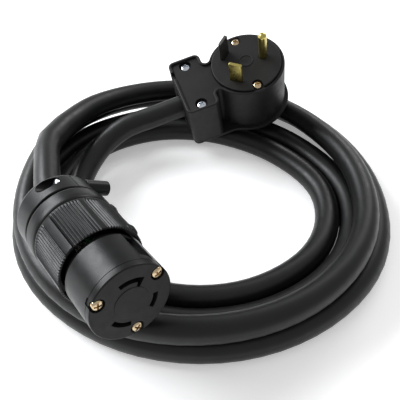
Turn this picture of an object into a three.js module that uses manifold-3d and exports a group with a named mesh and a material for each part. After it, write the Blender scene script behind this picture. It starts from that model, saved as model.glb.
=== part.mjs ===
// Shore power cord: a right-angle RV plug and a locking connector on a loosely coiled ten foot cable.
// Millimetres, +Z up. The coil lies on z = 0 and the origin is the middle of the footprint.
// The plug and the connector are each built in a frame of their own and then laid on the coil.

import * as THREE from 'three';
import { mergeVertices } from 'three/addons/utils/BufferGeometryUtils.js';
import Module from 'manifold-3d';

const wasm = await Module();
wasm.setup();

// ---------------------------------------------------------------- driving dimensions

const GAP = 0.3;                 // clearance between pieces that touch

const CORD_DIAMETER = 17;
const CORD_RADIUS = CORD_DIAMETER / 2;
const CORD_SIDES = 10;
const COIL_STEP = 20;            // degrees of coil for each straight length of the tube
const STATION_STEP = 30;         // degrees between the coil's stations
const CONDUCTOR_RADIUS = 2.5;
const FOOTPRINT_SHIFT = new THREE.Vector3(-1.1, 8.2, 0.1);

// The plug: x runs from the round body towards the cord, z along the blades, z = 0 at the rim.
const PLUG_RADIUS = 29.2;
const PLUG_WALL = 2.2;
const PLUG_HEIGHT = 40.3;
const FLANGE_RADIUS = 32.4;
const FLANGE_THICKNESS = 3.4;
const FLANGE_SWEEP = 20;         // radius of the curve from the flange into the foot of the box
const FACE_THICKNESS = 6;
const FACE_RAISE = 1.5;
const BOX_START = 30.5;
const BOX_END = 56;
const BOX_HALF_WIDTH = 26;
const BOX_CORNER = 4.5;
const BOX_WALL = 2.8;
const WAIST_FILLET = 3.2;
const PANEL_RECESS = 1.5;
const PLUG_CORD_HEIGHT = -22.3;  // the cord's axis, below the rim
const BLADE_PLACE = { x: 12.6, y: 12.8 };
const BLADE_TURN = 0.7;          // radians between each flat blade and the plug's long axis
const BLADE_WIDTH = 9.8;
const BLADE_THICKNESS = 2.2;
const BLADE_LENGTH = 19;
const BLADE_ROOT = 16;
const GROUND_X = -13.8;
const GROUND_WIDTH = 6.4;
const GROUND_LENGTH = 24.8;
const FACE_SCREW_Y = 22.6;
const CLAMP_SCREW = { x: 43.5, y: 19.4 };

// The connector: z = 0 at its face, which looks along +z; the cord leaves at the rear, along -z.
const BODY_RADIUS = 22.5;
const BODY_WALL = 1.8;
const BODY_LENGTH = 27;
const SEAL_LENGTH = 3.6;
const GRIP_END = 62;
const GRIP_RADIUS_FRONT = 24.6;
const GRIP_RADIUS_REAR = 24.9;
const GRIP_RIBS = 44;
const COLLAR_RADIUS = 25.4;
const COLLAR_END = 73.6;
const CLAMP_RADIUS = 24.7;
const CLAMP_START = 74.6;
const CLAMP_END = 92;
const CLAMP_TURN = -Math.PI / 6; // the clamp's split plane leans this far from upright
const CLAMP_SCREW_OFFSET = 19.4;
const CLAMP_SCREW_DEPTH = 85.5;
const CLAMP_BOSS_REACH = 25;
const CLAMP_HEAD_AT = 10;
const SOCKET_SCREW_RADIUS = 18.8;
const SOCKET_SCREW_ANGLES = [30, 150, 270];
const CONTACT_RADIUS = 13.4;
const SLOT_WIDTH = 2.8;
const SLOTS = [
  { name: 'ground', angle: 80, span: 56, hook: true },
  { name: 'hot', angle: -27, span: 38, hook: false },
  { name: 'neutral', angle: -126, span: 49, hook: false },
];
const CARRIER_RADIUS = 17;
const JACKET_END_IN_CONNECTOR = 61;
const JACKET_END_IN_PLUG = 36;

// Where the two fittings lie on the coil.
const PLUG_POSE = {
  position: new THREE.Vector3(35.13, 76.08, 71.22),
  up: new THREE.Vector3(-0.13, -0.32, 0.938),
  along: new THREE.Vector3(-0.932, -0.27, -0.24),
};
const CONNECTOR_POSE = {
  position: new THREE.Vector3(-32.9, -138.3, 68.2),
  up: new THREE.Vector3(0.573, -0.807, 0.14),
  along: new THREE.Vector3(0.815, 0.579, 0),
};

// The coil, wound clockwise seen from above: radius and height of the cord's axis at each station,
// from the connector's lead on top of the pile to the plug's lead.
const FIRST_STATION_ANGLE = 150;
const FLOOR = CORD_RADIUS;
const UPPER = 26;
const COIL_STATIONS = [
  [108, 39.5], [112, 29], [113, 22.5], [111, 22], [109, 23.5], [113, UPPER],
  [120.5, UPPER], [125, UPPER], [127.5, UPPER], [129.5, UPPER], [125, UPPER], [119.5, 26.5],
  [120.5, 25.5], [124, 16], [126, FLOOR], [126, FLOOR], [125, FLOOR], [126.5, FLOOR],
  [130.4, FLOOR], [129.8, FLOOR], [129.2, FLOOR], [129.4, FLOOR], [129, FLOOR], [123.3, FLOOR],
  [115.3, FLOOR], [102, FLOOR], [95, FLOOR], [91.5, FLOOR], [96, FLOOR], [107.2, FLOOR],
  [113.1, FLOOR], [112.5, FLOOR], [112, FLOOR], [112.2, FLOOR], [111, FLOOR], [105.6, FLOOR],
  [97.2, FLOOR], [84, FLOOR], [73.8, FLOOR], [71, FLOOR], [77, FLOOR], [90, FLOOR],
  [95.8, FLOOR], [95.2, FLOOR], [94.8, FLOOR], [95, FLOOR], [93, 9.5], [88.5, 15],
  [83.3, 23.5],
];

// ---------------------------------------------------------------- materials

function finish(color, roughness, metalness = 0) {
  return () => new THREE.MeshStandardMaterial({ color, roughness, metalness });
}

const rubber = finish(0x2b2c2d, 0.62);
const mattePlastic = finish(0x303031, 0.6);
const satinPlastic = finish(0x2a2b2d, 0.38);
const sealRubber = finish(0x161616, 0.8);
const brass = finish(0xc9b26a, 0.3, 1);
const nickel = finish(0x9a9a98, 0.3, 1);
const steel = finish(0xc4c6c8, 0.25, 1);
const carrierPlastic = finish(0x3a3a3c, 0.55);
const blackWire = finish(0x1c1c1c, 0.5);
const whiteWire = finish(0xe6e4de, 0.5);
const greenWire = finish(0x2f7a45, 0.5);

// ---------------------------------------------------------------- solids

function radians(degrees) {
  return (degrees * Math.PI) / 180;
}

function toSolid(geometry) {
  const bare = geometry.clone();
  bare.deleteAttribute('normal');
  bare.deleteAttribute('uv');
  const merged = mergeVertices(bare, 1e-4);
  return new wasm.Manifold(
    new wasm.Mesh({
      numProp: 3,
      vertProperties: new Float32Array(merged.attributes.position.array),
      triVerts: new Uint32Array(merged.index.array),
    }),
  );
}

function toGeometry(solid) {
  const mesh = solid.getMesh();
  const geometry = new THREE.BufferGeometry();
  geometry.setAttribute('position', new THREE.BufferAttribute(mesh.vertProperties, 3));
  geometry.setIndex(new THREE.BufferAttribute(mesh.triVerts, 1));
  return geometry;
}

// An upright cylinder between two heights.
function rod(radius, z0, z1, x = 0, y = 0, sides = 24) {
  const geometry = new THREE.CylinderGeometry(radius, radius, z1 - z0, sides);
  geometry.rotateX(Math.PI / 2);
  geometry.translate(x, y, (z0 + z1) / 2);
  return toSolid(geometry);
}

// A cylinder lying along x between two places.
function crossRod(radius, x0, x1, y, z, sides = 24) {
  const geometry = new THREE.CylinderGeometry(radius, radius, x1 - x0, sides);
  geometry.rotateZ(Math.PI / 2);
  geometry.translate((x0 + x1) / 2, y, z);
  return toSolid(geometry);
}

function block(x0, x1, y0, y1, z0, z1) {
  const geometry = new THREE.BoxGeometry(x1 - x0, y1 - y0, z1 - z0);
  geometry.translate((x0 + x1) / 2, (y0 + y1) / 2, (z0 + z1) / 2);
  return toSolid(geometry);
}

function prism(shape, z0, z1, curveSegments = 8) {
  const geometry = new THREE.ExtrudeGeometry(shape, {
    depth: z1 - z0,
    bevelEnabled: false,
    curveSegments,
  });
  geometry.translate(0, 0, z0);
  return toSolid(geometry);
}

function cutAll(solid, cutters) {
  return cutters.reduce((left, cutter) => left.subtract(cutter), solid);
}

// A ring sector seen along z, from one angle to another in degrees.
function sector(inner, outer, from, to) {
  const shape = new THREE.Shape();
  shape.absarc(0, 0, outer, radians(from), radians(to), false);
  shape.absarc(0, 0, inner, radians(to), radians(from), true);
  shape.closePath();
  return shape;
}

function polar(radius, degrees) {
  return [radius * Math.cos(radians(degrees)), radius * Math.sin(radians(degrees))];
}

function addMesh(group, name, geometry, material) {
  const mesh = new THREE.Mesh(geometry, material());
  mesh.name = name;
  group.add(mesh);
  return mesh;
}

// A group whose local z is `up` and whose local x is `along`, squared to it.
function laidGroup({ position, up, along }) {
  const z = up.clone().normalize();
  const y = z.clone().cross(along).normalize();
  const x = y.clone().cross(z);
  const group = new THREE.Group();
  group.quaternion.setFromRotationMatrix(new THREE.Matrix4().makeBasis(x, y, z));
  group.position.copy(position);
  group.updateMatrixWorld();
  return group;
}

// A pan-head cross-recess screw with its head's top at z = 0 and its shank downwards.
function panScrew(headRadius, headHeight, shankRadius, length) {
  const head = rod(headRadius, -headHeight, 0, 0, 0, 20);
  const shank = rod(shankRadius, -length, -headHeight + 0.1, 0, 0, 12);
  const arm = headRadius * 0.55;
  const slot = headRadius * 0.13;
  const depth = -headHeight * 0.6;
  const recess = block(-arm, arm, -slot, slot, depth, 1).add(block(-slot, slot, -arm, arm, depth, 1));
  return toGeometry(head.add(shank).subtract(recess));
}

// ---------------------------------------------------------------- the cord's route

// A spline whose parameter counts knots, so that lengths side by side in the coil bend together.
class KnotCurve extends THREE.CatmullRomCurve3 {
  getPointAt(u, target) {
    return this.getPoint(u, target);
  }

  getTangentAt(u, target) {
    return this.getTangent(u, target);
  }
}

function blendStations(before, from, to, after, t) {
  return (
    0.5 *
    (2 * from +
      (to - before) * t +
      (2 * before - 5 * from + 4 * to - after) * t * t +
      (3 * from - before - 3 * to + after) * t * t * t)
  );
}

function coilPoint(turned) {
  const last = COIL_STATIONS.length - 1;
  const index = Math.min(Math.floor(turned / STATION_STEP), last - 1);
  const t = turned / STATION_STEP - index;
  const near = [-1, 0, 1, 2].map((k) => COIL_STATIONS[Math.min(Math.max(index + k, 0), last)]);
  const radius = blendStations(...near.map((station) => station[0]), t);
  const height = blendStations(...near.map((station) => station[1]), t);
  const [x, y] = polar(radius, FIRST_STATION_ANGLE - turned);
  return new THREE.Vector3(x, y, height);
}

function coilPoints() {
  const whole = (COIL_STATIONS.length - 1) * STATION_STEP;
  const points = [];
  for (let turned = 0; turned <= whole; turned += COIL_STEP) points.push(coilPoint(turned));
  return points;
}

// The leads are given in the frame of the fitting that they enter, or on the coil.
function cordKnots(plug, connector) {
  const inConnector = (x, y, z) => connector.localToWorld(new THREE.Vector3(x, y, z));
  const inPlug = (x, y, z) => plug.localToWorld(new THREE.Vector3(x, y, z));
  return [
    inConnector(0, 0, -JACKET_END_IN_CONNECTOR),
    inConnector(0, 0, -82),
    inConnector(0, 0, -101),
    new THREE.Vector3(-101, -20, 52),
    new THREE.Vector3(-106.5, 13, 47.2),
    ...coilPoints(),
    new THREE.Vector3(-58, 53, 28.5),
    inPlug(84, 0, PLUG_CORD_HEIGHT),
    inPlug(54, 0, PLUG_CORD_HEIGHT),
    inPlug(JACKET_END_IN_PLUG, 0, PLUG_CORD_HEIGHT),
  ];
}

function tube(knots, radius, sides) {
  const section = new THREE.Shape();
  for (let side = 0; side < sides; side += 1) {
    const [x, y] = polar(radius, (side * 360) / sides);
    if (side === 0) section.moveTo(x, y);
    else section.lineTo(x, y);
  }
  section.closePath();
  return new THREE.ExtrudeGeometry(section, {
    steps: knots.length - 1,
    extrudePath: new KnotCurve(knots),
    bevelEnabled: false,
  });
}

// ---------------------------------------------------------------- plug

// The plug seen from its face: the round body, the waist and the box that the cord enters.
function plugOutline(radius, halfWidth, boxStart, boxEnd, corner, fillet) {
  const filletX = boxStart - fillet;
  const filletY = Math.sqrt((radius + fillet) ** 2 - filletX ** 2);
  const meet = Math.atan2(filletY, filletX);
  const shoulder = halfWidth - corner;
  const shape = new THREE.Shape();
  shape.absarc(0, 0, radius, meet, 2 * Math.PI - meet, false);
  shape.absarc(filletX, -filletY, fillet, Math.PI - meet, 0, true);
  shape.absarc(boxStart + corner, -shoulder, corner, Math.PI, 1.5 * Math.PI, false);
  shape.absarc(boxEnd - corner, -shoulder, corner, 1.5 * Math.PI, 2 * Math.PI, false);
  shape.absarc(boxEnd - corner, shoulder, corner, 0, 0.5 * Math.PI, false);
  shape.absarc(boxStart + corner, shoulder, corner, 0.5 * Math.PI, Math.PI, false);
  shape.absarc(filletX, filletY, fillet, 0, meet - Math.PI, true);
  shape.closePath();
  return shape;
}

function plugShell() {
  const outline = plugOutline(
    PLUG_RADIUS, BOX_HALF_WIDTH, BOX_START, BOX_END, BOX_CORNER, WAIST_FILLET,
  );
  const inner = PLUG_RADIUS - PLUG_WALL;
  const roof = -PANEL_RECESS - BOX_WALL;
  const boxInside = BOX_HALF_WIDTH - BOX_WALL;
  const below = -PLUG_HEIGHT - 1;
  const screwHoles = [-1, 1].flatMap((side) => [
    rod(2.3, below, 1, CLAMP_SCREW.x, side * CLAMP_SCREW.y, 16),
    rod(4.2, -PANEL_RECESS - 2, 1, CLAMP_SCREW.x, side * CLAMP_SCREW.y, 20),
  ]);
  return cutAll(prism(outline, -PLUG_HEIGHT, 0, 10), [
    rod(inner, below, 1, 0, 0, 56),
    block(20, BOX_START + 5, -11.5, 11.5, below, roof),
    block(BOX_START + BOX_WALL, BOX_END - BOX_WALL, -boxInside, boxInside, below, roof),
    block(BOX_START - 4, BOX_END - 2, -11.5, 11.5, -PANEL_RECESS, 1),
    block(BOX_START + 2, BOX_END - 2, -BOX_HALF_WIDTH + 2, BOX_HALF_WIDTH - 2, -PANEL_RECESS, 1),
    crossRod(12, BOX_END - 10, BOX_END + 2, 0, PLUG_CORD_HEIGHT, 24),
    ...screwHoles,
  ]);
}

// The cover stands out round the body as a flange and sweeps from there into the foot of the box.
function plugBackCover() {
  const sweepY = BOX_HALF_WIDTH + FLANGE_SWEEP;
  const sweepX = Math.sqrt((FLANGE_RADIUS + FLANGE_SWEEP) ** 2 - sweepY ** 2);
  const meet = Math.atan2(sweepY, sweepX);
  const shoulder = BOX_HALF_WIDTH - BOX_CORNER;
  const outline = new THREE.Shape();
  outline.absarc(0, 0, FLANGE_RADIUS, meet, 2 * Math.PI - meet, false);
  outline.absarc(sweepX, -sweepY, FLANGE_SWEEP, Math.PI - meet, 0.5 * Math.PI, true);
  outline.absarc(BOX_END - BOX_CORNER, -shoulder, BOX_CORNER, 1.5 * Math.PI, 2 * Math.PI, false);
  outline.absarc(BOX_END - BOX_CORNER, shoulder, BOX_CORNER, 0, 0.5 * Math.PI, false);
  outline.absarc(sweepX, sweepY, FLANGE_SWEEP, 1.5 * Math.PI, Math.PI + meet, true);
  outline.closePath();
  const top = -PLUG_HEIGHT - GAP;
  return prism(outline, top - FLANGE_THICKNESS, top, 10);
}

function bladeBlock(side, grow, z0, z1) {
  const width = BLADE_WIDTH / 2 + grow;
  const thickness = BLADE_THICKNESS / 2 + grow;
  return block(-width, width, -thickness, thickness, z0, z1)
    .rotate([0, 0, (-side * BLADE_TURN * 180) / Math.PI])
    .translate([BLADE_PLACE.x, side * BLADE_PLACE.y, 0]);
}

function plugFace() {
  const pocket = GROUND_WIDTH / 2 + GAP;
  const above = FACE_RAISE + 1;
  const below = -FACE_THICKNESS - 1;
  return cutAll(rod(PLUG_RADIUS - PLUG_WALL - GAP, -FACE_THICKNESS, FACE_RAISE, 0, 0, 56), [
    bladeBlock(1, GAP, below, above),
    bladeBlock(-1, GAP, below, above),
    block(GROUND_X - pocket, GROUND_X + pocket, -pocket, pocket, below, above),
    ...[-1, 1].flatMap((side) => [
      rod(2.1, below, above, 0, side * FACE_SCREW_Y, 16),
      rod(3.7, FACE_RAISE - 2.6, above, 0, side * FACE_SCREW_Y, 20),
    ]),
  ]);
}

// A flat blade with bevelled corners at its tip.
function flatBlade(side) {
  const half = BLADE_WIDTH / 2;
  const bevel = 0.5;
  const outline = new THREE.Shape();
  outline.moveTo(-half, -BLADE_ROOT);
  outline.lineTo(half, -BLADE_ROOT);
  outline.lineTo(half, BLADE_LENGTH - bevel);
  outline.lineTo(half - bevel, BLADE_LENGTH);
  outline.lineTo(-half + bevel, BLADE_LENGTH);
  outline.lineTo(-half, BLADE_LENGTH - bevel);
  outline.closePath();
  return prism(outline, -BLADE_THICKNESS / 2, BLADE_THICKNESS / 2)
    .rotate([90, 0, 0])
    .rotate([0, 0, (-side * BLADE_TURN * 180) / Math.PI])
    .translate([BLADE_PLACE.x, side * BLADE_PLACE.y, 0]);
}

// The U-shaped ground prong, folded from strip and open towards the middle of the face.
function groundProng() {
  const half = GROUND_WIDTH / 2;
  const section = new THREE.Shape();
  section.absarc(0, 0, half, Math.PI / 2, 1.5 * Math.PI, false);
  section.lineTo(half - 0.4, -half);
  section.lineTo(half - 0.4, half);
  section.closePath();
  const wall = 1.7;
  const grooveHalf = half - wall;
  const grooveTop = GROUND_LENGTH - 4;
  const groove = block(0.6 - grooveHalf, half + 1, -grooveHalf, grooveHalf, -BLADE_ROOT - 1, grooveTop);
  const domeRadius = half * 1.35;
  const dome = toSolid(new THREE.SphereGeometry(domeRadius, 20, 12))
    .translate([0, 0, GROUND_LENGTH - domeRadius]);
  const stem = block(-half, half, -half, half, -BLADE_ROOT, GROUND_LENGTH - half);
  return prism(section, -BLADE_ROOT, GROUND_LENGTH, 10)
    .subtract(groove)
    .intersect(dome.add(stem))
    .translate([GROUND_X, 0, 0]);
}

function addPlug(parent) {
  const plug = laidGroup(PLUG_POSE);
  parent.add(plug);
  parent.updateMatrixWorld();
  addMesh(plug, 'plug_shell', toGeometry(plugShell()), mattePlastic);
  addMesh(plug, 'plug_back_cover', toGeometry(plugBackCover()), mattePlastic);
  addMesh(plug, 'plug_face', toGeometry(plugFace()), mattePlastic);
  addMesh(plug, 'hot_blade', toGeometry(flatBlade(1)), brass);
  addMesh(plug, 'neutral_blade', toGeometry(flatBlade(-1)), nickel);
  addMesh(plug, 'ground_prong', toGeometry(groundProng()), brass);
  [-1, 1].forEach((side, index) => {
    const faceScrew = addMesh(plug, `plug_face_screw_${index + 1}`, panScrew(3.3, 2, 1.8, 36), brass);
    faceScrew.position.set(0, side * FACE_SCREW_Y, FACE_RAISE - 0.4);
    const clampScrew = addMesh(plug, `plug_clamp_screw_${index + 1}`, panScrew(3.7, 2.1, 1.9, 34), steel);
    clampScrew.position.set(CLAMP_SCREW.x, side * CLAMP_SCREW.y, -PANEL_RECESS + 0.2);
  });
  addMesh(plug, 'plug_cord_clamp', toGeometry(plugCordClamp()), carrierPlastic);
  addMesh(plug, 'plug_cord_grommet', toGeometry(plugGrommet()), sealRubber);
  addMesh(plug, 'plug_terminal_deck', toGeometry(plugTerminalDeck()), carrierPlastic);
  plugTerminals().forEach(({ name, x, y }) => {
    const screw = addMesh(plug, `plug_${name}_terminal_screw`, panScrew(3, 1.8, 1.6, 7), steel);
    screw.rotation.x = Math.PI;
    screw.position.set(x, y, -DECK_BOTTOM - GAP - 3.6);
  });
  return plug;
}

// The bar that the two box screws draw down on the cord.
function plugCordClamp() {
  const bottom = PLUG_CORD_HEIGHT + CORD_RADIUS - 4;
  const top = -PANEL_RECESS - BOX_WALL - GAP;
  return cutAll(block(CLAMP_SCREW.x - 5, CLAMP_SCREW.x + 5, -22.8, 22.8, bottom, top), [
    crossRod(CORD_RADIUS + GAP, CLAMP_SCREW.x - 6, CLAMP_SCREW.x + 6, 0, PLUG_CORD_HEIGHT, 24),
    ...[-1, 1].map((side) => rod(2.3, -40, 0, CLAMP_SCREW.x, side * CLAMP_SCREW.y, 16)),
  ]);
}

// The rubber ring that fills the box's mouth round the cord.
function plugGrommet() {
  return crossRod(12 - GAP, BOX_END - 6, BOX_END + 0.6, 0, PLUG_CORD_HEIGHT, 24)
    .subtract(crossRod(CORD_RADIUS + GAP, BOX_END - 7, BOX_END + 2, 0, PLUG_CORD_HEIGHT, 24));
}

const DECK_TOP = 12;
const DECK_BOTTOM = 17;

function plugTerminals() {
  return [
    { name: 'hot', x: 3, y: 11 },
    { name: 'neutral', x: 3, y: -11 },
    { name: 'ground', x: -6, y: 0 },
  ];
}

// The moulded deck under the face that holds the blades' roots and carries the terminal screws.
function plugTerminalDeck() {
  const pocket = GROUND_WIDTH / 2 + GAP;
  return cutAll(rod(24.5, -DECK_BOTTOM, -DECK_TOP, 0, 0, 40), [
    bladeBlock(1, GAP, -DECK_BOTTOM - 1, 0),
    bladeBlock(-1, GAP, -DECK_BOTTOM - 1, 0),
    block(GROUND_X - pocket, GROUND_X + pocket, -pocket, pocket, -DECK_BOTTOM - 1, 0),
    ...[-1, 1].map((side) => rod(2.1, -DECK_BOTTOM - 1, 0, 0, side * FACE_SCREW_Y, 16)),
    ...plugTerminals().map(({ x, y }) => rod(1.9, -DECK_BOTTOM - 1, 0, x, y, 14)),
  ]);
}

// ---------------------------------------------------------------- connector

function slotCutter(slot, grow, z0, z1) {
  const inner = CONTACT_RADIUS - SLOT_WIDTH / 2 - grow;
  const outer = CONTACT_RADIUS + SLOT_WIDTH / 2 + grow;
  const reach = slot.span / 2 + grow * 4;
  const arc = prism(sector(inner, outer, slot.angle - reach, slot.angle + reach), z0, z1, 10);
  if (!slot.hook) return arc;
  const hookFrom = slot.angle - reach;
  const hook = prism(sector(inner - 3, inner + 0.5, hookFrom, hookFrom + 12), z0, z1, 3);
  return arc.add(hook);
}

function socketScrewHoles(radius, z0, z1) {
  return SOCKET_SCREW_ANGLES.map((angle) => rod(radius, z0, z1, ...polar(SOCKET_SCREW_RADIUS, angle), 16));
}

function connectorFace() {
  return cutAll(rod(BODY_RADIUS - BODY_WALL - GAP, -9, 0, 0, 0, 56), [
    ...SLOTS.map((slot) => slotCutter(slot, 0, -10, 1)),
    ...socketScrewHoles(1.9, -10, 1),
    ...socketScrewHoles(3.6, -2.4, 1),
  ]);
}

// The smooth front barrel, notched for the screw heads, with a keyway beside one of them.
function connectorBody() {
  const keyway = block(BODY_RADIUS - 1.3, BODY_RADIUS + 2, -2.6, 2.6, -BODY_LENGTH - 1, -4)
    .rotate([0, 0, SOCKET_SCREW_ANGLES[0]]);
  return cutAll(rod(BODY_RADIUS, -BODY_LENGTH, -0.2, 0, 0, 56), [
    rod(BODY_RADIUS - BODY_WALL, -BODY_LENGTH - 1, 1, 0, 0, 56),
    keyway,
    ...socketScrewHoles(4.1, -2.4, 1),
  ]);
}

function contactCarrier() {
  const carrier = rod(CARRIER_RADIUS, -27, -9 - GAP, 0, 0, 44);
  return cutAll(carrier, SLOTS.map((slot) => slotCutter(slot, 1.4, -28, -8)));
}

// A spring contact: two curved leaves on a base, which grip the blade between them.
function socketContact(slot) {
  const leaf = 0.8;
  const from = slot.angle - slot.span / 2 + 3;
  const to = slot.angle + slot.span / 2 - 1;
  const inner = CONTACT_RADIUS - SLOT_WIDTH / 2 - 0.8;
  const outer = CONTACT_RADIUS + SLOT_WIDTH / 2 + 0.8;
  return prism(sector(inner, inner + leaf, from, to), -25, -10.5, 6)
    .add(prism(sector(outer - leaf, outer, from, to), -25, -10.5, 6))
    .add(prism(sector(inner, outer, from, to), -26.5, -25, 6));
}

function sealRing() {
  const front = -BODY_LENGTH - GAP;
  return cutAll(rod(BODY_RADIUS - 1, front - SEAL_LENGTH, front, 0, 0, 48), [
    rod(15, -40, 0, 0, 0, 32),
    ...socketScrewHoles(1.9, -40, 0),
  ]);
}

// The ribbed hand grip: groups of fine ribs along it, parted by plain lands.
function gripOutline(radius) {
  const shape = new THREE.Shape();
  const ribDepth = 0.7;
  const land = 11;
  for (let rib = 0; rib < GRIP_RIBS; rib += 1) {
    const plain = rib % land === 0;
    [0, 0.5].forEach((part) => {
      const radiusHere = part === 0 || plain ? radius : radius - ribDepth;
      const [x, y] = polar(radiusHere, ((rib + part) * 360) / GRIP_RIBS);
      if (rib === 0 && part === 0) shape.moveTo(x, y);
      else shape.lineTo(x, y);
    });
  }
  shape.closePath();
  return shape;
}

function gripSleeve() {
  const front = -BODY_LENGTH - SEAL_LENGTH - 2 * GAP;
  const rail = block(GRIP_RADIUS_FRONT - 1, GRIP_RADIUS_REAR + 1.6, -2.4, 2.4, -GRIP_END + 2, front - 1)
    .rotate([0, 0, 27]);
  const taper = GRIP_RADIUS_FRONT / GRIP_RADIUS_REAR;
  const geometry = new THREE.ExtrudeGeometry(gripOutline(GRIP_RADIUS_REAR), {
    depth: GRIP_END + front,
    bevelEnabled: false,
  });
  geometry.translate(0, 0, -GRIP_END);
  const place = geometry.attributes.position;
  for (let i = 0; i < place.count; i += 1) {
    if (place.getZ(i) > front - 1) place.setXY(i, place.getX(i) * taper, place.getY(i) * taper);
  }
  return cutAll(toSolid(geometry).add(rail), [
    rod(BODY_RADIUS - 2.2, -GRIP_END - 1, front + 1, 0, 0, 40),
  ]);
}

function rearCollar() {
  const front = -GRIP_END - GAP;
  return rod(COLLAR_RADIUS, -COLLAR_END, front, 0, 0, 48)
    .subtract(rod(14, -COLLAR_END - 1, front + 1, 0, 0, 32));
}

function connectorGrommet() {
  return rod(14 - GAP, -COLLAR_END + 0.5, -GRIP_END - 1, 0, 0, 28)
    .subtract(rod(CORD_RADIUS + GAP, -COLLAR_END - 1, -GRIP_END + 1, 0, 0, 24));
}

// Half of the cord clamp on one side of the split plane x = 0. The screws' heads sink into pockets
// in the left half, and their tips are held by round bosses that stand out of the right half.
function clampHalf(side) {
  const across = (radius, from, to, y, sides) => crossRod(radius, from, to, y, -CLAMP_SCREW_DEPTH, sides);
  const [x0, x1] = side > 0 ? [0.4, 40] : [-40, -0.4];
  const screws = [-CLAMP_SCREW_OFFSET, CLAMP_SCREW_OFFSET];
  const half = rod(CLAMP_RADIUS, -CLAMP_END, -CLAMP_START, 0, 0, 48)
    .intersect(block(x0, x1, -40, 40, -CLAMP_END - 1, -CLAMP_START + 1));
  const bores = [
    rod(CORD_RADIUS + GAP, -CLAMP_END - 1, -CLAMP_START + 1, 0, 0, 24),
    ...screws.map((y) => across(2.1, -30, 30, y, 14)),
  ];
  if (side < 0) {
    return cutAll(half, [...bores, ...screws.map((y) => across(4.4, -30, 2.8 - CLAMP_HEAD_AT, y, 20))]);
  }
  const bossed = screws.reduce((left, y) => left.add(across(4.6, 10, CLAMP_BOSS_REACH, y, 20)), half);
  return cutAll(bossed, bores);
}

function addCordClamp(connector) {
  const clamp = new THREE.Group();
  clamp.rotation.z = CLAMP_TURN;
  connector.add(clamp);
  addMesh(clamp, 'cord_clamp_left', toGeometry(clampHalf(-1)), satinPlastic);
  addMesh(clamp, 'cord_clamp_right', toGeometry(clampHalf(1)), satinPlastic);
  [1, -1].forEach((side, index) => {
    const screw = addMesh(clamp, `cord_clamp_screw_${index + 1}`, panScrew(3.8, 2.4, 1.8, 28), steel);
    screw.rotation.y = -Math.PI / 2;
    screw.position.set(-CLAMP_HEAD_AT, side * CLAMP_SCREW_OFFSET, -CLAMP_SCREW_DEPTH);
  });
}

function addConnector(parent) {
  const connector = laidGroup(CONNECTOR_POSE);
  parent.add(connector);
  parent.updateMatrixWorld();
  addMesh(connector, 'connector_face', toGeometry(connectorFace()), mattePlastic);
  addMesh(connector, 'connector_body', toGeometry(connectorBody()), satinPlastic);
  addMesh(connector, 'contact_carrier', toGeometry(contactCarrier()), carrierPlastic);
  SLOTS.forEach((slot) => {
    addMesh(connector, `socket_${slot.name}_contact`, toGeometry(socketContact(slot)), brass);
  });
  SOCKET_SCREW_ANGLES.forEach((angle, index) => {
    const name = `connector_face_screw_${index + 1}`;
    const screw = addMesh(connector, name, panScrew(2.9, 1.8, 1.5, 30), brass);
    screw.position.set(...polar(SOCKET_SCREW_RADIUS, angle), 0);
  });
  addMesh(connector, 'connector_seal_ring', toGeometry(sealRing()), sealRubber);
  addMesh(connector, 'grip_sleeve', toGeometry(gripSleeve()), satinPlastic);
  addMesh(connector, 'rear_collar', toGeometry(rearCollar()), satinPlastic);
  addMesh(connector, 'connector_cord_grommet', toGeometry(connectorGrommet()), sealRubber);
  addCordClamp(connector);
  return connector;
}

// ---------------------------------------------------------------- wires inside the fittings

function addWire(group, name, knots, material) {
  const points = knots.map((knot) => new THREE.Vector3(...knot));
  addMesh(group, name, tube(points, CONDUCTOR_RADIUS, 8), material);
}

function addPlugWires(plug) {
  const start = JACKET_END_IN_PLUG - 2 * GAP;
  const z = PLUG_CORD_HEIGHT;
  const side = (y) => [[start, y, z], [30, y, z - 1], [20, 2.6 * y, z - 5], [9, 3.4 * y, z - 7.5]];
  addWire(plug, 'plug_hot_wire', side(3.2), blackWire);
  addWire(plug, 'plug_neutral_wire', side(-3.2), whiteWire);
  const low = z - 5.6;
  const middle = [[start, 0, low], [30, 0, low - 1], [14, 0, low - 5], [0, 0, low - 6]];
  addWire(plug, 'plug_ground_wire', middle, greenWire);
}

function addConnectorWires(connector) {
  const colours = { hot: blackWire, neutral: whiteWire, ground: greenWire };
  SLOTS.forEach((slot) => {
    const [x0, y0] = polar(4.4, slot.angle);
    const [x1, y1] = polar(9, slot.angle);
    const [x2, y2] = polar(CONTACT_RADIUS - 1.5, slot.angle);
    const start = -JACKET_END_IN_CONNECTOR + GAP;
    const knots = [[x0, y0, start], [x0, y0, -54], [x1, y1, -43], [x2, y2, -35], [x2, y2, -28]];
    addWire(connector, `connector_${slot.name}_wire`, knots, colours[slot.name]);
  });
}

// ---------------------------------------------------------------- assembly

const cord = new THREE.Group();
const plug = addPlug(cord);
const connector = addConnector(cord);
addPlugWires(plug);
addConnectorWires(connector);
addMesh(cord, 'cord_jacket', tube(cordKnots(plug, connector), CORD_RADIUS, CORD_SIDES), rubber);
cord.position.copy(FOOTPRINT_SHIFT);

export default cord;
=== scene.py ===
"""Shore power cord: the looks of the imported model, in metres, in the CAD model's frame."""

import math

import bmesh
import bpy
from mathutils import Matrix, Vector


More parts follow.
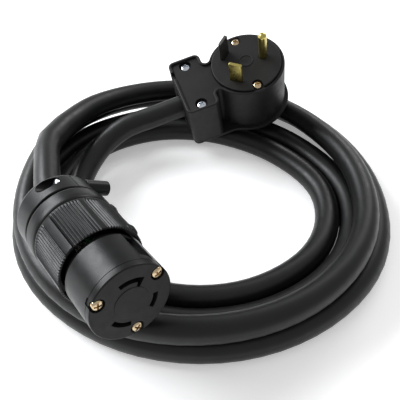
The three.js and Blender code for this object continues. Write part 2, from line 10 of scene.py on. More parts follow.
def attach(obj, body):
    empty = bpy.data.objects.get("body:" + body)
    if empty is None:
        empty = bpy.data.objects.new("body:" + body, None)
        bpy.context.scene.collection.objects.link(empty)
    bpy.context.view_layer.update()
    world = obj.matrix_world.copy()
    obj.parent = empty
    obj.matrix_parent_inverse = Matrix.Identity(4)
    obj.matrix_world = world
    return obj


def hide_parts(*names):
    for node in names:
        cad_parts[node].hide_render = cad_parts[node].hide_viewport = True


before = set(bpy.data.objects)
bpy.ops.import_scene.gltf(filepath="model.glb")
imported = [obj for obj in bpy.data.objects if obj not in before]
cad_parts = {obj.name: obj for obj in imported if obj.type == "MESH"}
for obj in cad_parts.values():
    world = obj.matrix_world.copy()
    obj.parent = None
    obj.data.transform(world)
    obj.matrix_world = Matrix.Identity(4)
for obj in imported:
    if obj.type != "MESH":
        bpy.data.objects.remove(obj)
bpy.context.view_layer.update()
MM = 0.001
BODY = "root"
SHIFT = Vector((-1.1, 8.2, 0.1))  # the coil's middle in the row frame, in mm


def axes_frame(position, up, along):
    """The matrix from a fitting's own frame in mm to the row frame in metres."""
    z = Vector(up).normalized()
    y = z.cross(Vector(along)).normalized()
    x = y.cross(z)
    turn = Matrix((x, y, z)).transposed().to_4x4()
    return Matrix.Scale(MM, 4) @ Matrix.Translation(Vector(position) + SHIFT) @ turn


PLUG = axes_frame((35.13, 76.08, 71.22), (-0.13, -0.32, 0.938), (-0.932, -0.27, -0.24))
CONNECTOR = axes_frame((-32.9, -138.3, 68.2), (0.573, -0.807, 0.14), (0.815, 0.579, 0))

# ---------------------------------------------------------------- camera

LENS = 48.15
SENSOR_WIDTH = 36
CAMERA_TILT = 45  # degrees down from level
EYE = (Vector((0, -285.7, 285.7)) + SHIFT) * MM


def make_camera():
    data = bpy.data.cameras.new("camera")
    data.lens = LENS
    data.sensor_width = SENSOR_WIDTH
    data.clip_start = 0.01
    data.clip_end = 20
    camera = bpy.data.objects.new("camera", data)
    camera.location = EYE
    camera.rotation_euler = (math.radians(90 - CAMERA_TILT), 0, 0)
    bpy.context.scene.collection.objects.link(camera)
    bpy.context.scene.camera = camera


make_camera()

# ---------------------------------------------------------------- the cord's route

# Lengths are in mm. A station is the coil's radius and height at each 30 degrees of its turns.
CORD_RADIUS = 8.5
CORD_SIDES = 28
STEPS_PER_KNOT = 2
PLUG_CORD_HEIGHT = -22.3
JACKET_END_IN_PLUG = 36
JACKET_END_IN_CONNECTOR = 61
CONNECTOR_LEAD = (82, 101)  # how far behind the connector's face
PLUG_LEAD = (84, 54)  # how far from the plug's middle
RISE_FROM_COIL = ((-101, -20, 52), (-106.5, 13, 47.2))
RISE_TO_PLUG = ((-58, 53, 28.5),)
COIL_STEP = 10  # degrees between the coil's points
STATION_STEP = 30
FIRST_STATION_ANGLE = 150
FLOOR = CORD_RADIUS
UPPER = 26
COIL_STATIONS = [
    (108, 39.5), (112, 29), (113, 22.5), (111, 22), (109, 23.5), (113, UPPER),
    (120.5, UPPER), (125, UPPER), (127.5, UPPER), (129.5, UPPER), (125, UPPER), (119.5, 26.5),
    (120.5, 25.5), (124, 16), (126, FLOOR), (126, FLOOR), (125, FLOOR), (126.5, FLOOR),
    (130.4, FLOOR), (129.8, FLOOR), (129.2, FLOOR), (129.4, FLOOR), (129, FLOOR), (123.3, FLOOR),
    (115.3, FLOOR), (102, FLOOR), (95, FLOOR), (91.5, FLOOR), (96, FLOOR), (107.2, FLOOR),
    (113.1, FLOOR), (112.5, FLOOR), (112, FLOOR), (112.2, FLOOR), (111, FLOOR), (105.6, FLOOR),
    (97.2, FLOOR), (84, FLOOR), (73.8, FLOOR), (71, FLOOR), (77, FLOOR), (90, FLOOR),
    (95.8, FLOOR), (95.2, FLOOR), (94.8, FLOOR), (95, FLOOR), (93, 9.5), (88.5, 15),
    (83.3, 23.5),
]


def blend_stations(before, start, end, after, t):
    """A smooth value between two stations, with their neighbours' slopes."""
    return 0.5 * (
        2 * start
        + (end - before) * t
        + (2 * before - 5 * start + 4 * end - after) * t * t
        + (3 * start - before - 3 * end + after) * t**3
    )


def coil_point(turned):
    """The coil's middle line after it has turned that many degrees."""
    last = len(COIL_STATIONS) - 1
    index = min(int(turned // STATION_STEP), last - 1)
    near = [COIL_STATIONS[min(max(index + k, 0), last)] for k in (-1, 0, 1, 2)]
    t = turned / STATION_STEP - index
    radius = blend_stations(*[station[0] for station in near], t)
    height = blend_stations(*[station[1] for station in near], t)
    angle = math.radians(FIRST_STATION_ANGLE - turned)
    return Vector((radius * math.cos(angle), radius * math.sin(angle), height)) + SHIFT


def cord_knots():
    """The route's points in the row frame, in mm, from inside the connector to inside the plug."""
    in_connector = lambda depth: (CONNECTOR @ Vector((0, 0, -depth))) / MM
    in_plug = lambda x: (PLUG @ Vector((x, 0, PLUG_CORD_HEIGHT))) / MM
    whole = (len(COIL_STATIONS) - 1) * STATION_STEP
    return (
        [in_connector(depth) for depth in (JACKET_END_IN_CONNECTOR, *CONNECTOR_LEAD)]
        + [Vector(point) + SHIFT for point in RISE_FROM_COIL]
        + [coil_point(turned) for turned in range(0, whole + 1, COIL_STEP)]
        + [Vector(point) + SHIFT for point in RISE_TO_PLUG]
        + [in_plug(x) for x in (*PLUG_LEAD, JACKET_END_IN_PLUG)]
    )


def centripetal(points, steps):
    """A smooth line through the points, with `steps` lengths between each pair."""
    ends = [2 * points[0] - points[1]] + points + [2 * points[-1] - points[-2]]
    line = []
    for p0, p1, p2, p3 in zip(ends, ends[1:], ends[2:], ends[3:]):
        d0, d1, d2 = [math.sqrt((b - a).length) for a, b in ((p0, p1), (p1, p2), (p2, p3))]
        m1 = ((p1 - p0) / d0 - (p2 - p0) / (d0 + d1) + (p2 - p1) / d1) * d1
        m2 = ((p2 - p1) / d1 - (p3 - p1) / (d1 + d2) + (p3 - p2) / d2) * d1
        for k in range(steps):
            t = k / steps
            line.append(
                p1 * (2 * t**3 - 3 * t**2 + 1)
                + p2 * (3 * t**2 - 2 * t**3)
                + m1 * (t**3 - 2 * t**2 + t)
                + m2 * (t**3 - t**2)
            )
    line.append(points[-1])
    return line


# ---------------------------------------------------------------- materials


SLOW_SCALE, GLOSS_SCALE = 60, 220
GRAIN_STRENGTH = 0.35
GLOSS_VARIED = 0.12


def new_material(name):
    material = bpy.data.materials.new(name)
    material.use_nodes = True
    tree = material.node_tree
    return material, tree, tree.nodes["Principled BSDF"]


def noise(tree, scale, detail=4.0, stretch=(1, 1, 1)):
    coordinates = tree.nodes.new("ShaderNodeTexCoord")
    mapping = tree.nodes.new("ShaderNodeMapping")
    mapping.inputs["Scale"].default_value = stretch
    texture = tree.nodes.new("ShaderNodeTexNoise")
    texture.inputs["Scale"].default_value = scale
    texture.inputs["Detail"].default_value = detail
    tree.links.new(coordinates.outputs["Object"], mapping.inputs["Vector"])
    tree.links.new(mapping.outputs["Vector"], texture.inputs["Vector"])
    return texture.outputs["Fac"]


def ramp(tree, source, low, high, start=0.35, end=0.65):
    node = tree.nodes.new("ShaderNodeValToRGB")
    node.color_ramp.elements[0].position = start
    node.color_ramp.elements[0].color = (*low, 1)
    node.color_ramp.elements[1].position = end
    node.color_ramp.elements[1].color = (*high, 1)
    tree.links.new(source, node.inputs["Fac"])
    return node.outputs["Color"]


def spread(tree, source, low, high):
    node = tree.nodes.new("ShaderNodeMapRange")
    node.inputs["From Min"].default_value = 0.3
    node.inputs["From Max"].default_value = 0.7
    node.inputs["To Min"].default_value = low
    node.inputs["To Max"].default_value = high
    tree.links.new(source, node.inputs["Value"])
    return node.outputs["Result"]


def bump(tree, source, strength, depth):
    node = tree.nodes.new("ShaderNodeBump")
    node.inputs["Strength"].default_value = strength
    node.inputs["Distance"].default_value = depth
    tree.links.new(source, node.inputs["Height"])
    return node.outputs["Normal"]


def surface(name, tone, roughness, grain, metal=0.0, varied=0.12, specular=0.5, depth=0.00006):
    """A moulded or drawn surface: slow colour and gloss variation over a fine grain."""
    material, tree, shader = new_material(name)
    slow = noise(tree, SLOW_SCALE, 3)
    fine = noise(tree, grain, 5)
    low = tuple(c * (1 - varied) for c in tone)
    high = tuple(min(1, c * (1 + varied)) for c in tone)
    tree.links.new(ramp(tree, slow, low, high), shader.inputs["Base Color"])
    smoothest, roughest = roughness * (1 - GLOSS_VARIED), roughness * (1 + GLOSS_VARIED)
    rough = spread(tree, noise(tree, GLOSS_SCALE, 4), smoothest, roughest)
    tree.links.new(rough, shader.inputs["Roughness"])
    shader.inputs["Metallic"].default_value = metal
    shader.inputs["Specular IOR Level"].default_value = specular
    tree.links.new(bump(tree, fine, GRAIN_STRENGTH, depth), shader.inputs["Normal"])
    return material


CORD_RUBBER = surface(
    "cord_rubber_look", (0.005, 0.0051, 0.0053), 0.4, 1500,
    specular=0.33, depth=0.00008,
)
PLUG_PLASTIC = surface(
    "plug_plastic_look", (0.0105, 0.0095, 0.0097), 0.5, 3200,
    specular=0.22, depth=0.0001,
)
FACE_PLASTIC = surface(
    "face_plastic_look", (0.0095, 0.0092, 0.009), 0.52, 3600,
    specular=0.22, depth=0.0001,
)
SATIN_PLASTIC = surface("satin_plastic_look", (0.005, 0.0052, 0.0056), 0.34, 2400, specular=0.2)
# Black rubber for the seal and the cord grommets, darker than the plastics: partly the rubber's own colour,
# partly painted shade for the deep ring round the seal and the cord mouths.
DARK_RUBBER_AND_PAINTED_SHADE = surface("seal_rubber_and_painted_shade_look", (0.003, 0.003, 0.003), 0.8, 2500, specular=0.15)
BRASS = surface("brass_look", (0.5, 0.42, 0.13), 0.3, 900, metal=1, varied=0.08, depth=0.00003)
SCREW_BRASS = surface(
    "screw_brass_look", (0.6, 0.47, 0.3), 0.22, 1500,
    metal=1, varied=0.1, depth=0.00003,
)
NICKEL = surface("nickel_look", (0.16, 0.16, 0.15), 0.35, 900, metal=1, varied=0.1, depth=0.00003)
STEEL = surface("steel_look", (0.72, 0.76, 0.82), 0.2, 1500, metal=1, varied=0.06, depth=0.00003)
CARRIER = surface("carrier_look", (0.015, 0.015, 0.016), 0.55, 2600, specular=0.3)
BLACK_WIRE = surface("black_wire_look", (0.01, 0.01, 0.01), 0.4, 2000)
WHITE_WIRE = surface("white_wire_look", (0.75, 0.74, 0.7), 0.4, 2000, varied=0.05)
GREEN_WIRE = surface("green_wire_look", (0.03, 0.18, 0.06), 0.4, 2000)

# ---------------------------------------------------------------- mesh helpers


def new_object(name, mesh):
    piece = bpy.data.objects.new(name, mesh)
    bpy.context.scene.collection.objects.link(piece)
    return piece


def from_faces(name, points, faces):
    mesh = bpy.data.meshes.new(name)
    mesh.from_pydata([tuple(p) for p in points], [], faces)
    tidy = bmesh.new()
    tidy.from_mesh(mesh)
    bmesh.ops.remove_doubles(tidy, verts=tidy.verts, dist=1e-4)
    bmesh.ops.recalc_face_normals(tidy, faces=tidy.faces)
    tidy.to_mesh(mesh)
    tidy.free()
    return new_object(name, mesh)


def loft(name, rings, closed=False):
    """Joins rings of equal counts; the first and the last are capped unless it closes on itself."""
    count = len(rings[0])
    points = [p for ring in rings for p in ring]
    faces = []
    pairs = len(rings) if closed else len(rings) - 1
    for r in range(pairs):
        a, b = r * count, ((r + 1) % len(rings)) * count
        for k in range(count):
            faces.append((a + k, a + (k + 1) % count, b + (k + 1) % count, b + k))
    if not closed:
        faces.append(tuple(range(count)))
        faces.append(tuple(range((len(rings) - 1) * count, len(rings) * count)))
    return from_faces(name, points, faces)


def circle(radius, z, sides, x=0.0, y=0.0):
    turns = [2 * math.pi * k / sides for k in range(sides)]
    return [Vector((x + radius * math.cos(a), y + radius * math.sin(a), z)) for a in turns]


def lathe(name, profile, sides=96, closed=False):
    """Turns a profile of (radius, z) round z."""
    return loft(name, [circle(max(r, 0.001), z, sides) for r, z in profile], closed)


def rounded(profile, corner, steps=4):
    """The profile with each inner corner cut to an arc of about that radius."""
    points = [Vector(p) for p in profile]
    result = [points[0]]
    for before, point, after in zip(points, points[1:], points[2:]):
        reach = min(corner, (before - point).length / 2.2, (after - point).length / 2.2)
        a = point + (before - point).normalized() * reach
        b = point + (after - point).normalized() * reach
        for k in range(steps + 1):
            t = k / steps
            result.append(a * (1 - t) ** 2 + point * 2 * t * (1 - t) + b * t**2)
    result.append(points[-1])
    return [tuple(p) for p in result]


def rod(radius, z0, z1, x=0.0, y=0.0, sides=40):
    return loft("cutter", [circle(radius, z0, sides, x, y), circle(radius, z1, sides, x, y)])


def cross_rod(radius, x0, x1, y, z, sides=40):
    piece = rod(radius, x0, x1, sides=sides)
    piece.data.transform(Matrix.Translation((0, y, z)) @ Matrix.Rotation(math.pi / 2, 4, "Y"))
    return piece


def block(x0, x1, y0, y1, z0, z1, turn=0.0):
    ring = lambda z: [Vector(p) for p in ((x0, y0, z), (x1, y0, z), (x1, y1, z), (x0, y1, z))]
    piece = loft("cutter", [ring(z0), ring(z1)])
    piece.data.transform(Matrix.Rotation(turn, 4, "Z"))
    return piece


def bake(piece):
    """Applies the piece's modifiers to its mesh."""
    shown = piece.evaluated_get(bpy.context.evaluated_depsgraph_get())
    mesh = bpy.data.meshes.new_from_object(shown)
    piece.modifiers.clear()
    old = piece.data
    piece.data = mesh
    bpy.data.meshes.remove(old)
    return piece


def combine(piece, others, operation):
    for other in others:
        change = piece.modifiers.new("join", "BOOLEAN")
        change.operation = operation
        change.solver = "EXACT"
        change.object = other
    bake(piece)
    for other in others:
        bpy.data.objects.remove(other)
    return piece


def cut(piece, *cutters):
    return combine(piece, cutters, "DIFFERENCE")


def join(piece, *others):
    return combine(piece, others, "UNION")


def soften(piece, width, angle=35, segments=2):
    edge = piece.modifiers.new("edges", "BEVEL")
    edge.width = width
    edge.segments = segments
    edge.limit_method = "ANGLE"
    edge.angle_limit = math.radians(angle)
    return bake(piece)


def settle(piece, place, material, replaced=(), smooth=38):
    """Moves a piece from its fitting's frame to the row frame, and gives it its finish and body."""
    piece.data.transform(place)
    piece.data.materials.clear()
    piece.data.materials.append(material)
    for polygon in piece.data.polygons:
        polygon.use_smooth = True
    piece.data.set_sharp_from_angle(angle=math.radians(smooth))
    even = piece.modifiers.new("even_normals", "WEIGHTED_NORMAL")
    even.keep_sharp = True
    bake(piece)
    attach(piece, BODY)
    if replaced:
        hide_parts(*replaced)
    return piece


# ---------------------------------------------------------------- cord


def tube_rings(line, radius, sides):
    """Rings round a line, turned as little as possible from one to the next."""
    tangents = []
    for k in range(len(line)):
        ahead, behind = line[min(k + 1, len(line) - 1)], line[max(k - 1, 0)]
        tangents.append((ahead - behind).normalized())
    side = tangents[0].orthogonal().normalized()
    rings = []
    for point, tangent in zip(line, tangents):
        side = (side - tangent * side.dot(tangent)).normalized()
        other = tangent.cross(side)
        turns = [2 * math.pi * k / sides for k in range(sides)]
        rings.append([point + (side * math.cos(a) + other * math.sin(a)) * radius for a in turns])
    return rings


def make_cord():
    line = centripetal(cord_knots(), STEPS_PER_KNOT)
    piece = loft("cord", tube_rings(line, CORD_RADIUS, CORD_SIDES))
    settle(piece, Matrix.Scale(MM, 4), CORD_RUBBER, ["cord_jacket"])
    return piece, [point * MM for point in line]


cord, cord_line = make_cord()

# ---------------------------------------------------------------- screws


def screw(name, place, head, height, shank, length, material, node, turn=0.0):
    """A domed head with a cross recess, its top at z = 0, on a plain shank."""
    domed = height * 0.62
    profile = [(0, -length), (shank, -length), (shank, -height), (head, -height)]
    dome = [(head * math.cos(a), -domed + domed * math.sin(a))
            for a in [math.radians(12 * k) for k in range(8)]]
    piece = lathe(name, profile + dome, 36)
    arm, slot_half, floor = head * 0.66, head * 0.17, -height * 0.9
    cross = join(block(-arm, arm, -slot_half, slot_half, floor, 1),
                 block(-slot_half, slot_half, -arm, arm, floor, 1))
    cross.data.transform(Matrix.Rotation(turn, 4, "Z"))
    cut(piece, cross)
    return settle(piece, place, material, [node], smooth=30)


# ---------------------------------------------------------------- plug

PLUG_RADIUS = 29.2
PLUG_HEIGHT = 40.3
FLANGE_RADIUS = 32.4
FLANGE_THICKNESS = 3.4
FLANGE_SWEEP = 20
BOX_START, BOX_END = 30.5, 56
BOX_HALF_WIDTH = 26
BOX_CORNER = 4.5
WAIST_FILLET = 3.2
BOX_WALL = 2.8
BODY_BORE = 27
MOUTH_RADIUS = 11.8
WAIST_HALF_WIDTH = 11.5
RIM = 2.2
PANEL_DEPTH = 1.5
PANEL_THICKNESS = 2.6
FACE_RADIUS = 26.7
FACE_RAISE = 1.5
FACE_SCREW_Y = 22.6
FACE_DEPTH = 6
CLAMP_SCREW = (43.5, 19.4)
SCREW_HOLE_RADIUS, SCREW_WELL_RADIUS, SCREW_WELL_DEPTH = 2.3, 4.7, 2.4
FACE_WELL_RADIUS, FACE_HOLE_RADIUS = 3.9, 2.1
BLADE_PLACE = (12.6, 12.8)
BLADE_TURN = 0.7
BLADE_WIDTH, BLADE_THICKNESS, BLADE_LENGTH, BLADE_ROOT = 9.8, 2.2, 19, 16
GROUND_X, GROUND_WIDTH, GROUND_LENGTH = -13.8, 6.4, 24.8


def arc(cx, cy, radius, start, end, steps):
    turns = [start + (end - start) * k / steps for k in range(steps + 1)]
    return [(cx + radius * math.cos(a), cy + radius * math.sin(a)) for a in turns]


def plug_outline(inset, z):
    """The plug's outline seen from its face, drawn in from the outside by `inset`."""
    radius, fillet, corner = PLUG_RADIUS - inset, WAIST_FILLET + inset, BOX_CORNER - inset
    start, end = BOX_START + inset, BOX_END - inset
    fillet_x = start - fillet
    fillet_y = math.sqrt((radius + fillet) ** 2 - fillet_x**2)
    meet = math.atan2(fillet_y, fillet_x)
    shoulder = BOX_HALF_WIDTH - BOX_CORNER
    half, full = math.pi / 2, math.pi
    points = arc(0, 0, radius, meet, 2 * full - meet, 72)[1:-1]
    points += arc(fillet_x, -fillet_y, fillet, full - meet, 0, 8)
    points += arc(start + corner, -shoulder, corner, full, 3 * half, 6)
    points += arc(end - corner, -shoulder, corner, 3 * half, 4 * half, 6)
    points += arc(end - corner, shoulder, corner, 0, half, 6)
    points += arc(start + corner, shoulder, corner, half, full, 6)
    points += arc(fillet_x, fillet_y, fillet, 0, meet - full, 8)
    return [Vector((x, y, z)) for x, y in points]


def make_shell():
    edge = 0.8
    outer = [(0, -PLUG_HEIGHT), (0, -edge), (0.12, -0.35), (0.4, -0.1), (edge, 0)]
    rim = [(RIM - 0.5, 0), (RIM - 0.15, -0.15), (RIM, -0.5), (RIM, -PANEL_DEPTH)]
    piece = loft("plug_body", [plug_outline(inset, z) for inset, z in outer + rim])
    below = -PLUG_HEIGHT - 1
    inside = BOX_HALF_WIDTH - BOX_WALL
    roof = -PANEL_DEPTH - PANEL_THICKNESS
    wells = []
    for side in (-1, 1):
        x, y = CLAMP_SCREW[0], side * CLAMP_SCREW[1]
        wells += [
            rod(SCREW_HOLE_RADIUS, below, 1, x, y),
            rod(SCREW_WELL_RADIUS, -PANEL_DEPTH - SCREW_WELL_DEPTH, 1, x, y),
        ]
    cut(
        piece,
        rod(BODY_BORE, below, 2, sides=96),
        block(20, BOX_START + 5, -WAIST_HALF_WIDTH, WAIST_HALF_WIDTH, below, roof),
        block(BOX_START + BOX_WALL, BOX_END - BOX_WALL, -inside, inside, below, roof),
        cross_rod(MOUTH_RADIUS, BOX_END - 10, BOX_END + 2, 0, PLUG_CORD_HEIGHT),
        block(BOX_END - 2.6, BOX_END + 1, -16.5, -9.5, -3.4, 1),
        *wells,
    )
    soften(piece, 0.25)
    return settle(piece, PLUG, PLUG_PLASTIC, ["plug_shell"])


def cover_outline(inset, z):
    """The cover's outline: a flange round the body that sweeps into the foot of the box."""
    sweep, corner = FLANGE_SWEEP + inset, BOX_CORNER - inset
    sweep_y = BOX_HALF_WIDTH + FLANGE_SWEEP
    sweep_x = math.sqrt((FLANGE_RADIUS + FLANGE_SWEEP) ** 2 - sweep_y**2)
    meet = math.atan2(sweep_y, sweep_x)
    shoulder = BOX_HALF_WIDTH - BOX_CORNER
    half, full = math.pi / 2, math.pi
    points = arc(0, 0, FLANGE_RADIUS - inset, meet, 2 * full - meet, 72)[1:-1]
    points += arc(sweep_x, -sweep_y, sweep, full - meet, half, 8)
    points += arc(BOX_END - BOX_CORNER, -shoulder, corner, 3 * half, 4 * half, 8)
    points += arc(BOX_END - BOX_CORNER, shoulder, corner, 0, half, 8)
    points += arc(sweep_x, sweep_y, sweep, 3 * half, full + meet, 8)
    return [Vector((x, y, z)) for x, y in points]


def make_cover():
    top = -PLUG_HEIGHT - 0.1
    bottom = top - FLANGE_THICKNESS
    steps = [(1.4, bottom), (0.5, bottom + 0.3), (0, bottom + 1.1),
             (0, top - 0.9), (0.25, top - 0.25), (0.9, top)]
    piece = loft("plug_cover", [cover_outline(inset, z) for inset, z in steps])
    return settle(piece, PLUG, PLUG_PLASTIC, ["plug_back_cover"])


def blade_place(side):
    """Where a blade stands, and how far it is turned."""
    turn = Matrix.Rotation(-side * BLADE_TURN, 4, "Z")
    return Matrix.Translation((BLADE_PLACE[0], side * BLADE_PLACE[1], 0)) @ turn


def make_face():
    """The raised disc with its small ring, its screw wells and the slots that the blades stand in."""
    back = -FACE_DEPTH
    profile = [(0, back), (FACE_RADIUS, back), (FACE_RADIUS, FACE_RAISE), (0, FACE_RAISE)]
    piece = lathe("plug_front", rounded(profile, 0.7))
    low, high = FACE_RAISE - 0.4, FACE_RAISE + 0.35
    ring_profile = [(4.6, low), (4.6, high), (5.6, high), (5.6, low)]
    ring = lathe("ring", rounded(ring_profile, 0.3), 48, closed=True)
    ring.data.transform(Matrix.Translation((-0.4, -1.2, 0)))
    join(piece, ring)
    above, below = FACE_RAISE + 1, back - 1
    cutters = []
    for side in (-1, 1):
        y = side * FACE_SCREW_Y
        edge = side * (FACE_RADIUS + 3.3)
        cutters += [
            rod(FACE_WELL_RADIUS, FACE_RAISE - 3, above, 0, y),
            rod(FACE_HOLE_RADIUS, below, above, 0, y),
            block(-FACE_WELL_RADIUS, FACE_WELL_RADIUS, min(y, edge), max(y, edge), FACE_RAISE - 2.2, above),
        ]
        slot = block(-5, 5, -1.4, 1.4, below, above)
        slot.data.transform(blade_place(side))
        cutters.append(slot)
    pocket = GROUND_WIDTH / 2 + 0.3
    cutters.append(rod(pocket, below, above, GROUND_X, 0))
    cut(piece, *cutters)
    soften(piece, 0.12)
    return settle(piece, PLUG, FACE_PLASTIC, ["plug_face"])


def make_blade(name, side, material, node):
    """A flat blade with its corners and edges just softened."""
    w, t, tip = BLADE_WIDTH / 2, BLADE_THICKNESS / 2, 0.5
    outline = [(-w, -BLADE_ROOT), (w, -BLADE_ROOT), (w, BLADE_LENGTH - tip), (w - tip, BLADE_LENGTH),
               (-w + tip, BLADE_LENGTH), (-w, BLADE_LENGTH - tip)]
    piece = loft(name, [[Vector((x, y, z)) for x, z in outline] for y in (-t, t)])
    soften(piece, 0.28, segments=3)
    piece.data.transform(blade_place(side))
    return settle(piece, PLUG, material, [node])


def make_ground():
    """A folded prong: round outside and at its tip, with a groove along the side to the middle."""
    half = GROUND_WIDTH / 2
    dome = [(half * math.cos(a), GROUND_LENGTH - half + half * math.sin(a))
            for a in [math.radians(10 * k) for k in range(10)]]
    piece = lathe("ground_pin", [(0, -BLADE_ROOT), (half, -BLADE_ROOT)] + dome, 48)
    cut(piece, block(0.4, half + 1, -0.9, 0.9, -BLADE_ROOT - 1, GROUND_LENGTH - 4.4))
    soften(piece, 0.25)
    piece.data.transform(Matrix.Translation((GROUND_X, 0, 0)) @ Matrix.Rotation(-0.35, 4, "Z"))
    return settle(piece, PLUG, BRASS, ["ground_prong"])


def make_plug_grommet():
    inner, outer, front = CORD_RADIUS + 0.5, MOUTH_RADIUS - 0.2, BOX_END + 0.2
    profile = [
        (inner, BOX_END - 6), (outer, BOX_END - 6), (outer, front),
        (inner + 0.8, front), (inner, BOX_END - 0.8),
    ]
    piece = lathe("plug_cord_ring", profile, 64, closed=True)
    lie_along = Matrix.Rotation(math.pi / 2, 4, "Y")
    piece.data.transform(Matrix.Translation((0, 0, PLUG_CORD_HEIGHT)) @ lie_along)
    return settle(piece, PLUG, DARK_RUBBER_AND_PAINTED_SHADE, ["plug_cord_grommet"])


def make_plug():
    make_shell()
    make_cover()
    make_face()
    make_blade("blade_hot", 1, BRASS, "hot_blade")
    make_blade("blade_neutral", -1, NICKEL, "neutral_blade")
    make_ground()
    make_plug_grommet()
    for index, side in enumerate((-1, 1)):
        number = index + 1
        place = PLUG @ Matrix.Translation((0, side * FACE_SCREW_Y, FACE_RAISE - 0.4))
        screw(f"face_screw_{number}", place, 3.3, 2, 1.8, 36, SCREW_BRASS,
              f"plug_face_screw_{number}", turn=0.5 + side)
        place = PLUG @ Matrix.Translation((CLAMP_SCREW[0], side * CLAMP_SCREW[1], -PANEL_DEPTH - 0.8))
        screw(f"clamp_box_screw_{number}", place, 3.7, 2.1, 1.9, 34, STEEL,
              f"plug_clamp_screw_{number}", turn=0.3 - side)


make_plug()

# ---------------------------------------------------------------- connector

BODY_RADIUS = 22.5
BODY_LENGTH = 27
SEAL_END = 30.9
GRIP_END = 62
GRIP_FRONT, GRIP_REAR = 24.6, 24.9
COLLAR_RADIUS = 25.4
COLLAR_END = 73.3
CLAMP_START, CLAMP_END = 75.2, 92
CLAMP_RADIUS = 24.7
CLAMP_TURN = Matrix.Rotation(-math.pi / 6, 4, "Z")
CLAMP_SCREW_OFFSET, CLAMP_SCREW_DEPTH = 19.4, 85.5
CLAMP_BOSS_REACH, CLAMP_HEAD_AT = 25, 10
SOCKET_SCREW_RADIUS = 18.8
SOCKET_SCREW_ANGLES = (30, 150, 270)
CONTACT_RADIUS = 13.4
SLOT_WIDTH = 2.8
# Each slot is its middle and its span in degrees, and whether it is hooked.
SLOTS = ((80, 56, True), (-27, 38, False), (-126, 49, False))
CHANNEL_ANGLE, CHANNEL_WIDTH = 47.5, 7.6


def polar(radius, degrees):
    return radius * math.cos(math.radians(degrees)), radius * math.sin(math.radians(degrees))


def screw_wells(radius, z0, z1):
    return [rod(radius, z0, z1, *polar(SOCKET_SCREW_RADIUS, angle)) for angle in SOCKET_SCREW_ANGLES]


def sector(inner, outer, start, end, z0, z1, steps=14):
    turns = [math.radians(start + (end - start) * k / steps) for k in range(steps + 1)]
    edge = [(outer, a) for a in turns] + [(inner, a) for a in reversed(turns)]
    ring = lambda z: [Vector((r * math.cos(a), r * math.sin(a), z)) for r, a in edge]
    return loft("cutter", [ring(z0), ring(z1)])


def make_connector_face():
    outer = BODY_RADIUS - 0.55
    profile = [(0, -9), (outer, -9), (outer, -0.05), (9.4, -0.05), (9.4, 0.25), (0, 0.25)]
    piece = lathe("socket_front", rounded(profile, 0.22), 112)
    slots = []
    for angle, span, hook in SLOTS:
        inner, outside = CONTACT_RADIUS - SLOT_WIDTH / 2, CONTACT_RADIUS + SLOT_WIDTH / 2
        start = angle - span / 2
        slots.append(sector(inner, outside, start, angle + span / 2, -7.5, 1))
        if hook:
            slots.append(sector(inner - 2.6, inner + 0.4, start, start + 11, -7.5, 1, 4))
    cut(piece, *slots, *screw_wells(3.9, -2.6, 1), *screw_wells(1.8, -10, 1))
    soften(piece, 0.15)
    return settle(piece, CONNECTOR, FACE_PLASTIC, ["connector_face"])


def make_connector_body():
    wall = 0.5
    outer = BODY_RADIUS
    groove = [(outer, -4.3), (outer - 0.18, -4.15), (outer - 0.18, -3.85), (outer, -3.7)]
    lip = [(outer, -0.7), (outer - 0.2, -0.3), (outer - wall, -0.15)]
    profile = [(outer - wall, -BODY_LENGTH), (outer, -BODY_LENGTH)] + groove + lip
    piece = lathe("socket_barrel", profile, 128, closed=True)
    inside = outer - wall - 0.04
    inner = [(outer - 4.2, -BODY_LENGTH), (inside, -BODY_LENGTH), (inside, -9.3), (outer - 4.2, -9.3)]
    lining = lathe("lining", inner, 128, closed=True)
    join(piece, lining)
    channel = block(BODY_RADIUS - 3.4, BODY_RADIUS + 3, -CHANNEL_WIDTH / 2, CHANNEL_WIDTH / 2,
                    -BODY_LENGTH - 1, -5.2, math.radians(CHANNEL_ANGLE))
    cut(piece, channel, *screw_wells(4.1, -5.2, 1))
    soften(piece, 0.18)
    return settle(piece, CONNECTOR, SATIN_PLASTIC, ["connector_body"])


def make_seal():
    outer, front = BODY_RADIUS - 1.6, -BODY_LENGTH - 0.1
    profile = [(15, -SEAL_END), (outer, -SEAL_END), (outer, front), (15, front)]
    piece = lathe("seal", rounded(profile, 0.4), 80, closed=True)
    # The seal's dark rubber is partly painted shade in the ring between the barrel and the grip.
    return settle(piece, CONNECTOR, DARK_RUBBER_AND_PAINTED_SHADE, ["connector_seal_ring"])


# Where the grip is plain between its ribs: middle and half width, in degrees.
GRIP_LANDS = ((125, 6), (75, 3.6), (27, 8), (-28, 6), (-76, 3.6), (-125, 6), (180, 3.6))
RIB_PITCH = 3.9  # degrees
RIB_DEPTH = 0.75
GRIP_SIDES = 640
RAIL_ANGLE = 27
RAIL_STEPS = 16


def grip_base(depth):
    """The grip's outer radius at a depth behind the connector's face, where it isn't ribbed."""
    return GRIP_REAR + (GRIP_FRONT - GRIP_REAR) * (GRIP_END - depth) / (GRIP_END - SEAL_END)


def grip_radius(degrees, base):
    """The radius at an angle, lower between two ribs."""
    for middle, half in GRIP_LANDS:
        if abs((degrees - middle + 180) % 360 - 180) < half:
            return base
    wave = (degrees / RIB_PITCH) % 1
    return base - RIB_DEPTH * (0.5 - 0.5 * math.cos(2 * math.pi * wave)) ** 0.7


